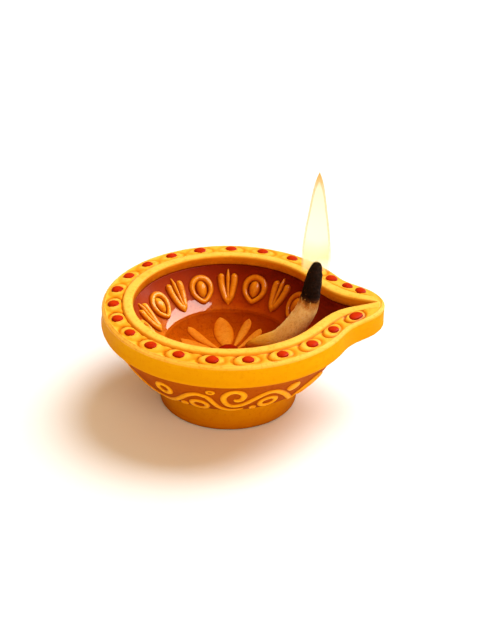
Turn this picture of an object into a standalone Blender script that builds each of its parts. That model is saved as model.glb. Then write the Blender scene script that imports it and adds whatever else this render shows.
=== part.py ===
"""Diya oil lamp: a spouted clay bowl on a turned foot, with a thick painted rim, a ring of red
clay beads, moulded sprigs on the inner wall, a flower on the floor, lamp oil and a lit cotton
wick. +X points along the spout, +Z is up, and the origin is under the middle of the foot, on the
surface that the lamp stands on. Lengths are written in millimetres and turned into metres by MM."""

import math

import bmesh
import bpy
from mathutils import Matrix, Vector

MM = 0.001
GAP = 0.3  # clearance between touching pieces

# Foot
FOOT_RADIUS = 21.7
FOOT_TOP_RADIUS = 22.3
FOOT_HEIGHT = 8.2

# Outer wall of the bowl, from the foot up to the neck that the collar sits round: (radius, height)
NECK_RADIUS = 38.2
BOWL_BOTTOM = FOOT_HEIGHT + GAP
BOWL_TOP = 31.5
BODY_PROFILE = [
    (22.8, BOWL_BOTTOM),
    (26.4, 10.4),
    (30.0, 13.6),
    (33.4, 18.2),
    (36.3, 23.0),
    (NECK_RADIUS, 26.8),
]

# Inside of the bowl: a cubic curve from the floor up to the mouth
FLOOR_Z = 14.5
MOUTH_RADIUS = 30.3
INSIDE_HEIGHTS = [31.5, 28.6, 25.6, 22.6, 19.9, 17.7, 16.2, 15.2, 14.7]

# Spout: outside it is a round lobe on the body's circle, inside it is a tapering channel
LOBE_CENTRE = 37.9
LOBE_RADIUS = 11.3
LOBE_BLEND = 8.0
KEEL_RADIUS = 18.0
KEEL_REACH = 1.8
KEEL_BLEND = 1.5
SPOUT_SHELF_Z = 27.1  # the spout's flat underside, level with the lower edge of the collar
THROAT_START = 12.0
THROAT_TIP = 47.0
THROAT_SPREAD = 0.35
THROAT_BLEND = 9.5
CHANNEL_RUN = 2.3  # how far the channel's tip moves in for each millimetre of depth
CHANNEL_TOP_Z = 33.0  # the height at which the channel's tip is the throat's tip

# Collar: the thick yellow rim
RIM_RADIUS = 40.2
LIP_Z = 35.0
LIP_WIDTH = 3.2
TROUGH_Z = 33.9
BAND_BOTTOM_Z = 27.2
BAND_FLARE = 1.3
FLARE_START = math.radians(60)  # the flare grows from nothing at the spout to its full width here
FLARE_EASE = math.radians(110)  # from here it dies away again toward the side opposite the spout
FLARE_LOSS = 0.8
COLLAR_SEAT_Z = BOWL_TOP + GAP
SPOUT_RISE = 0.7  # the rim's edge and trough climb this much along the spout
SPOUT_RISE_ANGLE = math.radians(38)

# Beads on the rim
BEAD_RADIUS = 1.85
BEAD_HEIGHT = 0.5
BEAD_SEAT = 0.42  # where a bead sits between the lip and the rim's edge, as a share
BEAD_COUNT = 19
BEAD_START = -28.0
BEAD_STEP = -16.3
BEAD_DRIFT = -3.2  # the beads are laid by hand, so their spacing drifts round the rim
SPOUT_BEAD_ANGLES = (26.0, 15.6, 9.8, -13.0)

# Slip vine round the outside
VINE_Z = 16.0
VINE_SWING = 2.4
VINE_WAVES = 5
VINE_RADIUS = 0.5
VINE_POINTS = 90

# Sprigs on the inner wall
SPRIG_START = 32.0
SPRIG_STEP = 20.0
SPRIG_COUNT = 16
SPRIG_HEIGHT_Z = 25.3
SPRIG_BOW = 0.013  # a sprig is bowed along its length, as the wall under it is

# Flower on the floor
PETAL_COUNT = 12
PETAL_LENGTH = 15.2
PETAL_LENGTH_SWING = 2.4
PETAL_LONGEST_ANGLE = 115.0
PETAL_THICKNESS = 0.4
PETAL_ROOT = 6.5  # radius at which neighbouring petals part
FLOWER_CENTRE_RADIUS = 3.9
FLOWER_CENTRE_HEIGHT = 1.9

# Oil
OIL_LEVEL = 20.0
OIL_RADIUS = 20.2
WICK_SLOT_START = 3.4
WICK_SLOT_SIZE = (26.0, 7.0, 20.0)

# Wick and flame: the wick lies in the oil, climbs the wall and stands in the throat
WICK_PATH = [(5.6, 17.5), (10.7, 19.0), (16.4, 21.0), (20.1, 24.6), (23.6, 28.8), (25.3, 34.1)]
WICK_RADII = [1.7, 2.4, 2.8, 3.0, 3.1, 3.1]
CHAR_BASE = (25.5, 34.9)
CHAR_TILT = 7.8
CHAR_LENGTH = 14.0
FLAME_X = 26.9
FLAME_BASE_Z = 45.0
FLAME_TIP_Z = 78.8

COLUMNS = 96
COLUMN_CROWDING = 0.7  # columns crowd towards the spout, where the shape turns tightly


def material(name, colour, roughness, metallic=0.0, alpha=1.0, glow=0.0):
    mat = bpy.data.materials.new(name)
    mat.use_nodes = True
    shader = mat.node_tree.nodes["Principled BSDF"]
    shader.inputs["Base Color"].default_value = (*colour, 1.0)
    shader.inputs["Roughness"].default_value = roughness
    shader.inputs["Metallic"].default_value = metallic
    shader.inputs["Alpha"].default_value = alpha
    shader.inputs["Emission Color"].default_value = (*colour, 1.0)
    shader.inputs["Emission Strength"].default_value = glow
    return mat


def add_mesh(name, bm, mat, location=(0.0, 0.0, 0.0), matrix=None):
    """Turns a bmesh in millimetres into an object in metres."""
    bmesh.ops.scale(bm, vec=(MM, MM, MM), verts=bm.verts)
    mesh = bpy.data.meshes.new(name)
    bm.to_mesh(mesh)
    bm.free()
    mesh.materials.append(mat)
    obj = bpy.data.objects.new(name, mesh)
    obj.matrix_world = matrix if matrix is not None else Matrix.Translation(Vector(location) * MM)
    parts.objects.link(obj)
    for polygon in mesh.polygons:
        polygon.use_smooth = True
    mesh.set_sharp_from_angle(angle=math.radians(35))
    return obj


def loft(rings, close=False):
    """Skins rings of equally many points, listed up the outside and down the inside. The ends are
    capped, or joined to each other if close."""
    bm = bmesh.new()
    rows = [[bm.verts.new(point) for point in ring] for ring in rings]
    count = len(rows[0])
    pairs = list(zip(rows, rows[1:]))
    if close:
        pairs.append((rows[-1], rows[0]))
    for low, high in pairs:
        for i in range(count):
            j = (i + 1) % count
            bm.faces.new((low[i], low[j], high[j], high[i]))
    if not close:
        bm.faces.new(rows[0][::-1])
        bm.faces.new(rows[-1])
    return bm


def turned(name, profile, mat, location=(0.0, 0.0, 0.0), tilt=0.0, steps=32):
    """A turned piece: the profile, listed from the top down the outside, spun about Z by a Screw."""
    bm = bmesh.new()
    points = [bm.verts.new((radius * MM, 0.0, z * MM)) for radius, z in profile]
    for start, end in zip(points, points[1:]):
        bm.edges.new((start, end))
    mesh = bpy.data.meshes.new(name)
    bm.to_mesh(mesh)
    bm.free()
    mesh.materials.append(mat)
    obj = bpy.data.objects.new(name, mesh)
    obj.location = Vector(location) * MM
    obj.rotation_euler = (0.0, math.radians(tilt), 0.0)
    parts.objects.link(obj)
    screw = obj.modifiers.new("turn", "SCREW")
    screw.axis = "Z"
    screw.steps = steps
    screw.render_steps = steps
    screw.use_merge_vertices = True
    screw.merge_threshold = 0.00001
    screw.use_smooth_shade = True
    return obj


def smooth_union(a, b, blend):
    """The smaller of two distances, eased where they are close to each other."""
    ease = max(blend - abs(a - b), 0.0) / blend
    return min(a, b) - ease * ease * blend / 4


def radius_where(distance, angle):
    """How far out along an angle the distance function crosses zero."""
    low, high = 0.0, 80.0
    for _ in range(40):
        middle = (low + high) / 2
        if distance(middle * math.cos(angle), middle * math.sin(angle)) < 0:
            low = middle
        else:
            high = middle
    return low


def outside_radius(angle, radius, lobe_centre=LOBE_CENTRE, lobe_radius=LOBE_RADIUS, blend=LOBE_BLEND):
    """The outer outline: a circle with the spout's round lobe."""

    def distance(x, y):
        body = math.hypot(x, y) - radius
        lobe = math.hypot(x - lobe_centre, y) - lobe_radius
        return smooth_union(body, lobe, blend)

    return radius_where(distance, angle)


def throat_radius(angle, radius, tip, offset=0.0):
    """The mouth's outline: a circle that narrows into the spout's channel."""
    slope = math.hypot(1.0, THROAT_SPREAD)

    def distance(x, y):
        mouth = math.hypot(x, y) - radius
        side = (abs(y) - THROAT_SPREAD * (tip - x)) / slope
        channel = max(side, THROAT_START - x)
        return smooth_union(mouth, channel, THROAT_BLEND) - offset

    return radius_where(distance, angle)


def inside_radius_at(z):
    return MOUTH_RADIUS * ((z - FLOOR_Z) / (BOWL_TOP - FLOOR_Z)) ** (1 / 3)


def inside_height_at(radius):
    return FLOOR_Z + (BOWL_TOP - FLOOR_Z) * (radius / MOUTH_RADIUS) ** 3


def column_angles():
    turns = [2 * math.pi * i / COLUMNS for i in range(COLUMNS)]
    return [turn - COLUMN_CROWDING * math.sin(turn) for turn in turns]


def ring(radius_of, height_of):
    """One ring of points: radius_of and height_of are functions of the angle."""
    points = []
    for angle in column_angles():
        radius = radius_of(angle)
        points.append((radius * math.cos(angle), radius * math.sin(angle), height_of(angle)))
    return points


def neck_radius(angle, inset=0.0):
    """The bowl's neck, which the collar's skirt goes round."""
    shrink = RIM_RADIUS - NECK_RADIUS + inset
    return outside_radius(angle, RIM_RADIUS - shrink, LOBE_CENTRE, LOBE_RADIUS - shrink)


def body_radius(angle, radius):
    """The body's outline at one height; a shallow keel under the spout fades out towards the foot."""
    rise = (radius - BODY_PROFILE[0][0]) / (NECK_RADIUS - BODY_PROFILE[0][0])
    lobe_centre = radius - KEEL_RADIUS + KEEL_REACH * rise
    return outside_radius(angle, radius, lobe_centre, KEEL_RADIUS, KEEL_BLEND)


def rim_radius(angle, inset=0.0):
    return outside_radius(angle, RIM_RADIUS) - inset


def ease(share):
    """A smooth climb from 0 to 1."""
    share = min(max(share, 0.0), 1.0)
    return share * share * (3 - 2 * share)


def trough_z(angle):
    """Height of the rim's surface between the lip and the edge."""
    turn = abs(math.remainder(angle, 2 * math.pi))
    return TROUGH_Z + SPOUT_RISE * (1 - ease(turn / SPOUT_RISE_ANGLE))


def flare(angle):
    """How far the band's lower edge stands out past its upper edge; the spout has none."""
    turn = abs(math.remainder(angle, 2 * math.pi))
    loss = FLARE_LOSS * ease((turn - FLARE_EASE) / (math.pi - FLARE_EASE))
    return BAND_FLARE * ease(turn / FLARE_START) * (1 - loss)


def lip_radius(angle, offset):
    """A line on the rim, offset outward from the edge of the mouth, and always inside the rim."""
    throat = throat_radius(angle, MOUTH_RADIUS, THROAT_TIP, offset)
    return min(throat, rim_radius(angle, 2.4) + 0.25 * offset)


def make_foot():
    profile = [
        (0.0, FOOT_HEIGHT),
        (FOOT_TOP_RADIUS - 0.5, FOOT_HEIGHT),
        (FOOT_TOP_RADIUS, FOOT_HEIGHT - 0.5),
        (FOOT_RADIUS, 0.6),
        (FOOT_RADIUS - 0.6, 0.0),
        (0.0, 0.0),
    ]
    turned("foot", profile, foot_paint, steps=48)


def make_bowl():
    rings = []
    for radius, z in BODY_PROFILE:
        rings.append(ring(lambda a: body_radius(a, radius), lambda a: z))
    rings.append(ring(neck_radius, lambda a: SPOUT_SHELF_Z))
    rings.append(ring(neck_radius, lambda a: BOWL_TOP))
    for z in INSIDE_HEIGHTS:
        tip = THROAT_TIP - CHANNEL_RUN * (CHANNEL_TOP_Z - z)
        radius = inside_radius_at(z)
        if tip > radius + 1.0:
            rings.append(ring(lambda a: throat_radius(a, radius, tip), lambda a: z))
        else:
            rings.append(ring(lambda a: radius, lambda a: z))
    add_mesh("bowl", loft(rings), clay_brown)


def make_collar():
    """The collar's section: up the band, over the rim and the lip, down the mouth and back under."""
    rings = [
        ring(lambda a: neck_radius(a, -GAP), lambda a: COLLAR_SEAT_Z),
        ring(lambda a: neck_radius(a, -GAP), lambda a: BAND_BOTTOM_Z + 0.1),
        ring(lambda a: rim_radius(a, 0.8) + flare(a), lambda a: BAND_BOTTOM_Z),
        ring(lambda a: rim_radius(a) + flare(a), lambda a: BAND_BOTTOM_Z + 1.2),
        ring(rim_radius, lambda a: trough_z(a) - 0.6),
        ring(lambda a: rim_radius(a, 0.7), trough_z),
        ring(lambda a: lip_radius(a, LIP_WIDTH) * 0.5 + rim_radius(a, 0.9) * 0.5, trough_z),
        ring(lambda a: lip_radius(a, LIP_WIDTH), lambda a: trough_z(a) + 0.2),
        ring(lambda a: lip_radius(a, 2.2), lambda a: LIP_Z - 0.1),
        ring(lambda a: lip_radius(a, 0.9), lambda a: LIP_Z),
        ring(lambda a: lip_radius(a, 0.0), lambda a: LIP_Z - 0.8),
        ring(lambda a: throat_radius(a, MOUTH_RADIUS, THROAT_TIP - 1.5, 0.05), lambda a: COLLAR_SEAT_Z),
    ]
    add_mesh("rim_collar", loft(rings, close=True), paint_yellow)


def bead_angles():
    angles = []
    for i in range(BEAD_COUNT):
        drift = BEAD_DRIFT * math.sin(2 * math.pi * i / (BEAD_COUNT - 1))
        angles.append(BEAD_START + BEAD_STEP * i + drift)
    return angles + list(SPOUT_BEAD_ANGLES)


def make_beads():
    for i, degrees in enumerate(bead_angles()):
        angle = math.radians(degrees)
        inner = lip_radius(angle, LIP_WIDTH)
        radius = inner + BEAD_SEAT * (rim_radius(angle) - inner)
        bm = bmesh.new()
        bmesh.ops.create_uvsphere(bm, u_segments=10, v_segments=6, radius=BEAD_RADIUS)
        bmesh.ops.scale(bm, vec=(1.0, 1.0, BEAD_HEIGHT / BEAD_RADIUS), verts=bm.verts)
        z = trough_z(angle) + GAP + BEAD_HEIGHT
        place = Matrix.Translation(Vector((radius * math.cos(angle), radius * math.sin(angle), z)) * MM)
        add_mesh(f"rim_bead_{i + 1:02d}", bm, bead_red, matrix=place @ Matrix.Rotation(angle, 4, "Z"))


def ring_outline(turn):
    """Oval with a pointed foot: turn 0 points up the wall."""
    radius = 4.1 * 4.8 / math.hypot(4.1 * math.cos(turn), 4.8 * math.sin(turn))
    point = max(0.0, -math.cos(turn)) ** 6
    return radius + 0.8 * point


def tulip_outline(turn):
    """Three prongs above a pointed foot."""
    width = 3.2 * 5.2 / math.hypot(3.2 * math.cos(turn), 5.2 * math.sin(turn))
    prongs = 0.9 * math.cos(turn * 360 / 34) * max(0.0, math.cos(turn)) ** 3
    point = max(0.0, -math.cos(turn)) ** 6
    return width + prongs + 0.6 * point


def sprig_rings(outline, columns, steps):
    """Rings of a low relief, bent to lie on the curved wall; steps are (share of outline, height)."""
    rings = []
    for share, height in steps:
        points = []
        for i in range(columns):
            turn = 2 * math.pi * i / columns
            x = share * outline(turn) * math.sin(turn)
            y = share * outline(turn) * math.cos(turn)
            bend = x * x / (2 * inside_radius_at(SPRIG_HEIGHT_Z)) + SPRIG_BOW * y * y
            points.append((-x, y, height + bend))
        rings.append(points)
    return rings


def make_sprigs():
    radius = inside_radius_at(SPRIG_HEIGHT_Z)
    slope = 3 * (BOWL_TOP - FLOOR_Z) * radius**2 / MOUTH_RADIUS**3
    lean = math.atan(slope)
    ring_steps = [(1.0, 0.0), (1.0, 0.4), (0.88, 1.1), (0.7, 1.0)]
    ring_steps += [(0.56, 0.4), (0.42, 0.5), (0.3, 1.1), (0.12, 1.3)]
    tulip_steps = [(1.0, 0.0), (1.0, 0.4), (0.84, 1.1), (0.4, 1.2)]
    for i in range(SPRIG_COUNT):
        angle = math.radians(SPRIG_START + SPRIG_STEP * i)
        outward = Vector((math.cos(angle), math.sin(angle), 0.0))
        up_wall = outward * math.cos(lean) + Vector((0.0, 0.0, math.sin(lean)))
        inward = Vector((0.0, 0.0, math.cos(lean))) - outward * math.sin(lean)
        across = up_wall.cross(inward)
        centre = outward * radius + Vector((0.0, 0.0, SPRIG_HEIGHT_Z)) + inward * (GAP + 0.05)
        place = Matrix((across, up_wall, inward)).transposed().to_4x4()
        place.translation = centre * MM
        if i % 2 == 0:
            bm = loft(sprig_rings(ring_outline, 16, ring_steps))
            add_mesh(f"sprig_ring_{i // 2 + 1}", bm, sprig_gold, matrix=place)
        else:
            bm = loft(sprig_rings(tulip_outline, 22, tulip_steps))
            add_mesh(f"sprig_tulip_{i // 2 + 1}", bm, sprig_gold, matrix=place)


def petal_radius(angle):
    longest = math.radians(PETAL_LONGEST_ANGLE)
    length = PETAL_LENGTH + PETAL_LENGTH_SWING * math.cos(angle - longest)
    lobe = abs(math.cos(PETAL_COUNT * angle / 2)) ** 0.7
    return PETAL_ROOT + (length - PETAL_ROOT) * lobe


def make_flower():
    rings = []
    bottom = [(share, GAP) for share in (0.3, 0.65, 1.0)]
    top = [(share, GAP + PETAL_THICKNESS) for share in (0.97, 0.65, 0.3)]
    for share, height in bottom + top:
        points = []
        for i in range(PETAL_COUNT * 4):
            angle = 2 * math.pi * i / (PETAL_COUNT * 4)
            radius = share * petal_radius(angle)
            z = inside_height_at(radius) + height
            points.append((radius * math.cos(angle), radius * math.sin(angle), z))
        rings.append(points)
    add_mesh("floor_petals", loft(rings), petal_orange)
    base = FLOOR_Z + 2 * GAP + PETAL_THICKNESS + 0.1
    crown = base + FLOWER_CENTRE_HEIGHT
    dome = [(0.0, crown), (2.0, crown - 0.2), (3.2, crown - 0.8), (FLOWER_CENTRE_RADIUS, base), (0.0, base)]
    turned("flower_centre", dome, bead_red, steps=20)


def make_oil():
    """The pool rests over the flower; a slot is left where the wick lies in it."""
    over_flower = 2 * GAP + PETAL_THICKNESS + 0.3
    centre_top = inside_height_at(FLOWER_CENTRE_RADIUS) + over_flower + FLOWER_CENTRE_HEIGHT + 0.3
    flower_edge = PETAL_LENGTH + PETAL_LENGTH_SWING + 0.3
    profile = [(0.0, OIL_LEVEL), (OIL_RADIUS, OIL_LEVEL)]
    profile.append((flower_edge + 0.3, inside_height_at(flower_edge + 0.3) + GAP + 0.1))
    for radius in (flower_edge, 14.0, 10.0, FLOWER_CENTRE_RADIUS + 0.8):
        profile.append((radius, inside_height_at(radius) + over_flower))
    profile += [(FLOWER_CENTRE_RADIUS + 0.4, centre_top), (0.0, centre_top)]
    oil = turned("lamp_oil", profile, oil_amber, steps=40)
    slot = bpy.data.meshes.new("wick_slot")
    bm = bmesh.new()
    bmesh.ops.create_cube(bm, size=1.0)
    bmesh.ops.scale(bm, vec=Vector(WICK_SLOT_SIZE) * MM, verts=bm.verts)
    bm.to_mesh(slot)
    bm.free()
    cutter = bpy.data.objects.new("wick_slot", slot)
    cutter.location = Vector((WICK_SLOT_START + WICK_SLOT_SIZE[0] / 2, 0.0, OIL_LEVEL)) * MM
    cutter.hide_render = True
    cutter.display_type = "WIRE"
    cutters.objects.link(cutter)
    cut = oil.modifiers.new("wick_slot", "BOOLEAN")
    cut.operation = "DIFFERENCE"
    cut.solver = "EXACT"
    cut.object = cutter


def make_frieze():
    """The raised slip vine that runs in waves round the brown body."""
    stand_off = VINE_RADIUS + GAP
    points = []
    for i in range(VINE_POINTS):
        angle = 2 * math.pi * i / VINE_POINTS
        z = VINE_Z + VINE_SWING * math.sin(VINE_WAVES * angle + 0.6)
        widening = profile_radius(z + 0.5) - profile_radius(z - 0.5)
        slope = widening / math.hypot(1.0, widening)
        reach = body_radius(angle, profile_radius(z)) + stand_off * math.sqrt(1 - slope * slope)
        points.append((reach * math.cos(angle), reach * math.sin(angle), z - stand_off * slope))
    curve = bpy.data.curves.new("frieze_vine", "CURVE")
    curve.dimensions = "3D"
    curve.bevel_depth = VINE_RADIUS * MM
    curve.bevel_resolution = 1
    curve.use_fill_caps = True
    spline = curve.splines.new("POLY")
    spline.points.add(VINE_POINTS - 1)
    for point, place in zip(spline.points, points):
        point.co = (*(Vector(place) * MM), 1.0)
    spline.use_cyclic_u = True
    curve.materials.append(paint_yellow)
    parts.objects.link(bpy.data.objects.new("frieze_vine", curve))


def profile_radius(z):
    """The body's radius away from the spout, at one height."""
    for (low_radius, low_z), (high_radius, high_z) in zip(BODY_PROFILE, BODY_PROFILE[1:]):
        if z <= high_z:
            return low_radius + (high_radius - low_radius) * (z - low_z) / (high_z - low_z)
    return NECK_RADIUS


def make_wick():
    """The wick, its charred end and the flame lift out together, so they hang from one empty."""
    lift = bpy.data.objects.new("wick_lift", None)
    parts.objects.link(lift)
    curve = bpy.data.curves.new("cotton_wick", "CURVE")
    curve.dimensions = "3D"
    curve.bevel_depth = MM
    curve.bevel_resolution = 2
    curve.resolution_u = 3
    curve.use_fill_caps = True
    spline = curve.splines.new("BEZIER")
    spline.bezier_points.add(len(WICK_PATH) - 1)
    for point, (x, z), radius in zip(spline.bezier_points, WICK_PATH, WICK_RADII):
        point.co = Vector((x, 0.0, z)) * MM
        point.radius = radius
        point.handle_left_type = "AUTO"
        point.handle_right_type = "AUTO"
    curve.materials.append(cotton)
    wick = bpy.data.objects.new("cotton_wick", curve)
    parts.objects.link(wick)
    char_profile = [(0.0, CHAR_LENGTH), (0.9, 13.7), (1.7, 12.4), (2.3, 9.0)]
    char_profile += [(2.8, 4.5), (3.0, 0.0), (0.0, 0.0)]
    char_base = (CHAR_BASE[0], 0.0, CHAR_BASE[1])
    tip = turned("wick_char_tip", char_profile, char_black, char_base, CHAR_TILT, 16)
    flame_profile = [
        (0.0, FLAME_TIP_Z),
        (0.6, 77.4),
        (1.45, 74.6),
        (2.75, 66.7),
        (3.65, 60.8),
        (4.3, 55.0),
        (4.6, 50.5),
        (4.5, 47.5),
        (4.2, FLAME_BASE_Z),
        (3.4, FLAME_BASE_Z),
        (3.0, 48.6),
        (0.0, 49.6),
    ]
    flame = turned("flame", flame_profile, flame_glow, (FLAME_X, 0.0, 0.0), steps=24)
    for obj in (wick, tip, flame):
        obj.parent = lift


for old in list(bpy.data.objects):
    bpy.data.objects.remove(old)
parts = bpy.data.collections.new("diya_oil_lamp")
cutters = bpy.data.collections.new("cutters")
bpy.context.scene.collection.children.link(parts)
bpy.context.scene.collection.children.link(cutters)

paint_yellow = material("paint_yellow", (0.90, 0.40, 0.03), 0.45)
foot_paint = material("foot_paint", (0.75, 0.28, 0.02), 0.45)
clay_brown = material("clay_brown", (0.42, 0.07, 0.01), 0.35)
sprig_gold = material("sprig_gold", (0.75, 0.30, 0.03), 0.3)
bead_red = material("bead_red", (0.60, 0.05, 0.01), 0.4)
petal_orange = material("petal_orange", (0.85, 0.25, 0.02), 0.4)
oil_amber = material("oil_amber", (0.85, 0.45, 0.08), 0.05, alpha=0.35)
cotton = material("cotton", (0.72, 0.48, 0.22), 0.95)
char_black = material("char_black", (0.02, 0.012, 0.008), 0.9)
flame_glow = material("flame_glow", (1.0, 0.75, 0.35), 0.5, alpha=0.8, glow=4.0)

make_foot()
make_bowl()
make_collar()
make_beads()
make_sprigs()
make_flower()
make_oil()
make_frieze()
make_wick()
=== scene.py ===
"""A lit diya: the painted clay lamp, its oil, the cotton wick and the flame, on a pale floor.

Lengths are millimetres in the lamp's own frame, apart from the materials, lights and camera: +X along
the spout, +Z up, the origin under the middle of the foot. MM turns them into metres.
"""

import math

import bpy
import numpy as np
from mathutils import Matrix, Vector, noise


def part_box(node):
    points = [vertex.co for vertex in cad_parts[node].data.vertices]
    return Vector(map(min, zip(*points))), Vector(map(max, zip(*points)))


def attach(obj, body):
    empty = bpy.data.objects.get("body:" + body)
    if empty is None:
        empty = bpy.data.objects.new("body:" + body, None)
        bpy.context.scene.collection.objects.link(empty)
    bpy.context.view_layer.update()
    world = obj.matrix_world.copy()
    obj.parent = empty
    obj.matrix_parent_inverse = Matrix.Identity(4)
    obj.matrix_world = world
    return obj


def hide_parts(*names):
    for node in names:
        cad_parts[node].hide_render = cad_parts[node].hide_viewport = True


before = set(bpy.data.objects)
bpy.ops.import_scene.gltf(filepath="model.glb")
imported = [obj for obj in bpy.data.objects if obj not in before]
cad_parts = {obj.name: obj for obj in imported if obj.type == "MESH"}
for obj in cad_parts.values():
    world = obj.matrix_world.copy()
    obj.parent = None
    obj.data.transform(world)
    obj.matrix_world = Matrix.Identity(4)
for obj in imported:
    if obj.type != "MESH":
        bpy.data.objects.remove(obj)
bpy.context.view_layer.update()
MM = 0.001
rng = np.random.default_rng(11)


def box_mm(node):
    low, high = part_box(node)
    return np.array(low) / MM, np.array(high) / MM


def place_of(node):
    """Azimuth and radius of the middle of a node."""
    low, high = box_mm(node)
    x, y, _ = (low + high) / 2
    return math.atan2(y, x), math.hypot(x, y)


foot_low, foot_high = box_mm("foot")
rim_low, rim_high = box_mm("rim_collar")
flame_low, flame_high = box_mm("flame")
flower_low, flower_high = box_mm("flower_centre")
MOUTH_Z = box_mm("bowl")[1][2]
OIL_LEVEL = box_mm("lamp_oil")[1][2]
CHAR_TOP = box_mm("wick_char_tip")[1][2]

# Bowl and spout, as the lamp is thrown. The profile is (radius, height) up the outside.
BODY_PROFILE = [(22.8, 8.5), (26.4, 10.4), (30.0, 13.6), (33.4, 18.2), (36.3, 23.0), (38.2, 26.8)]
BODY_LOW_RADIUS, BODY_LOW_Z = BODY_PROFILE[0]
NECK_RADIUS, BODY_HIGH_Z = BODY_PROFILE[-1]
FLOOR_Z = 14.5
MOUTH_RADIUS = 30.3
LOBE_CENTRE = 37.9
LOBE_RADIUS = 11.3
LOBE_BLEND = 8.0
KEEL_RADIUS = 18.0
KEEL_REACH = 1.8
KEEL_BLEND = 1.5
SPOUT_SHELF_Z = 27.1
THROAT_START = 12.0
THROAT_TIP = 47.0
THROAT_SPREAD = 0.35
THROAT_BLEND = 9.5
CHANNEL_RUN = 2.3
CHANNEL_TOP_Z = 33.0
COLUMNS = 480

# Collar
RIM_RADIUS = 40.2
LIP_Z = rim_high[2]
LIP_WIDTH = 3.2
TROUGH_Z = 33.9
BAND_BOTTOM_Z = rim_low[2]
BAND_FLARE = 1.3
BAND_ROUNDING = 1.2
FLARE_START = math.radians(60)
FLARE_EASE = math.radians(110)
FLARE_LOSS = 0.8
SPOUT_RISE = 0.7
SPOUT_RISE_ANGLE = math.radians(38)
ZONE_RISE = 0.5  # the beaded part of the rim climbs from the edge to the lip
EDGE_ROUNDING = 0.9
CUP_LENGTH, CUP_WIDTH = 4.6, 2.9
CRESCENT_LENGTH, CRESCENT_WIDTH = 2.9, 2.0
CUP_REACH = 9.0  # a cup leaves the rim alone beyond this
PLAIN_FROM, PLAIN_TO = 0.1, 0.6  # the beads between these azimuths have no cups

BEAD_COUNT = 23
BEAD_SIZE = 2.0
BEAD_HEIGHT = 0.9
BEAD_PROUD = 0.22

# Sprigs on the inside wall, and the flower on the floor
SPRIG_COUNT = 8
SPRIG_RADIUS = 25.8
SPRIG_Z = 25.3
# How much painted shade darkens the sprigs on the side of the bowl that faces away from the light
SPRIG_PAINTED_SHADE = 0.4
PETAL_HEIGHT = 0.62
BROAD_FROM = 2.2

# Glaze and oil
SHADED_SIDE = math.radians(20)  # the inside wall on this side of the bowl faces away from the light; the glaze and sprigs there are painted darker, as painted shade
WET_MIDDLE = math.radians(128)  # where oil has last run up the wall, and how far it has
WET_SPREAD = math.radians(26)
WET_HEIGHT = 3.2


# ---- outlines
def circle(count):
    return 2 * np.pi * np.arange(count) / count


# The columns stand closest together at the spout, where the outlines turn sharply.
ANGLES = circle(COLUMNS) - 0.7 * np.sin(circle(COLUMNS))


def smooth_union(a, b, blend_width):
    ease = np.maximum(blend_width - np.abs(a - b), 0.0) / np.maximum(blend_width, 1e-6)
    return np.minimum(a, b) - ease * ease * blend_width / 4


def smooth_step(t):
    t = np.clip(t, 0.0, 1.0)
    return t * t * (3 - 2 * t)


def ridge(distance, width):
    """A smooth ridge of height 1 where the distance is 0."""
    return np.exp(-((distance / width) ** 2))


def radius_where(distance, angles):
    """The radius at which the distance to an outline is 0, by halving."""
    low = np.zeros_like(angles)
    high = np.full_like(angles, 80.0)
    for _ in range(40):
        middle = (low + high) / 2
        inside = distance(middle * np.cos(angles), middle * np.sin(angles)) < 0
        low = np.where(inside, middle, low)
        high = np.where(inside, high, middle)
    return low


def outside_radius(angles, radius, lobe_centre=LOBE_CENTRE, lobe_radius=LOBE_RADIUS, blend_width=LOBE_BLEND):
    """A circle joined to the spout's smaller circle."""
    def distance(x, y):
        lobe = np.hypot(x - lobe_centre, y) - lobe_radius
        return smooth_union(np.hypot(x, y) - radius, lobe, blend_width)

    return radius_where(distance, angles)


def throat_radius(angles, radius, tip, offset=0.0, blend_width=THROAT_BLEND):
    """A circle joined to the wedge of the spout's throat, which ends at the tip."""
    def distance(x, y):
        side = (np.abs(y) - THROAT_SPREAD * (tip - x)) / math.hypot(1.0, THROAT_SPREAD)
        channel = np.maximum(side, THROAT_START - x)
        return smooth_union(np.hypot(x, y) - radius, channel, blend_width) - offset

    return radius_where(distance, angles)


def inside_radius_at(z):
    return MOUTH_RADIUS * (np.maximum(z - FLOOR_Z, 0.0) / (MOUTH_Z - FLOOR_Z)) ** (1 / 3)


def inside_height_at(radius):
    return FLOOR_Z + (MOUTH_Z - FLOOR_Z) * (radius / MOUTH_RADIUS) ** 3


def neck_radius(angles, inset=0.0):
    shrink = RIM_RADIUS - NECK_RADIUS + inset
    return outside_radius(angles, RIM_RADIUS - shrink, LOBE_CENTRE, LOBE_RADIUS - shrink)


def body_radius(angles, radius):
    rise = (radius - BODY_LOW_RADIUS) / (NECK_RADIUS - BODY_LOW_RADIUS)
    keel_centre = radius - KEEL_RADIUS + KEEL_REACH * rise
    return outside_radius(angles, radius, keel_centre, KEEL_RADIUS, KEEL_BLEND)


def rim_radius(angles, inset=0.0):
    return outside_radius(angles, RIM_RADIUS) - inset


def turn_from_spout(angles):
    return np.abs(np.remainder(angles + np.pi, 2 * np.pi) - np.pi)


def trough_z(angles):
    return TROUGH_Z + SPOUT_RISE * (1 - smooth_step(turn_from_spout(angles) / SPOUT_RISE_ANGLE))


def flare(angles):
    turn = turn_from_spout(angles)
    loss = FLARE_LOSS * smooth_step((turn - FLARE_EASE) / (math.pi - FLARE_EASE))
    return BAND_FLARE * smooth_step(turn / FLARE_START) * (1 - loss)


def lip_radius(angles, offset):
    throat = throat_radius(angles, MOUTH_RADIUS, THROAT_TIP, offset)
    return np.minimum(throat, rim_radius(angles, 2.4) + 0.25 * offset)


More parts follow.
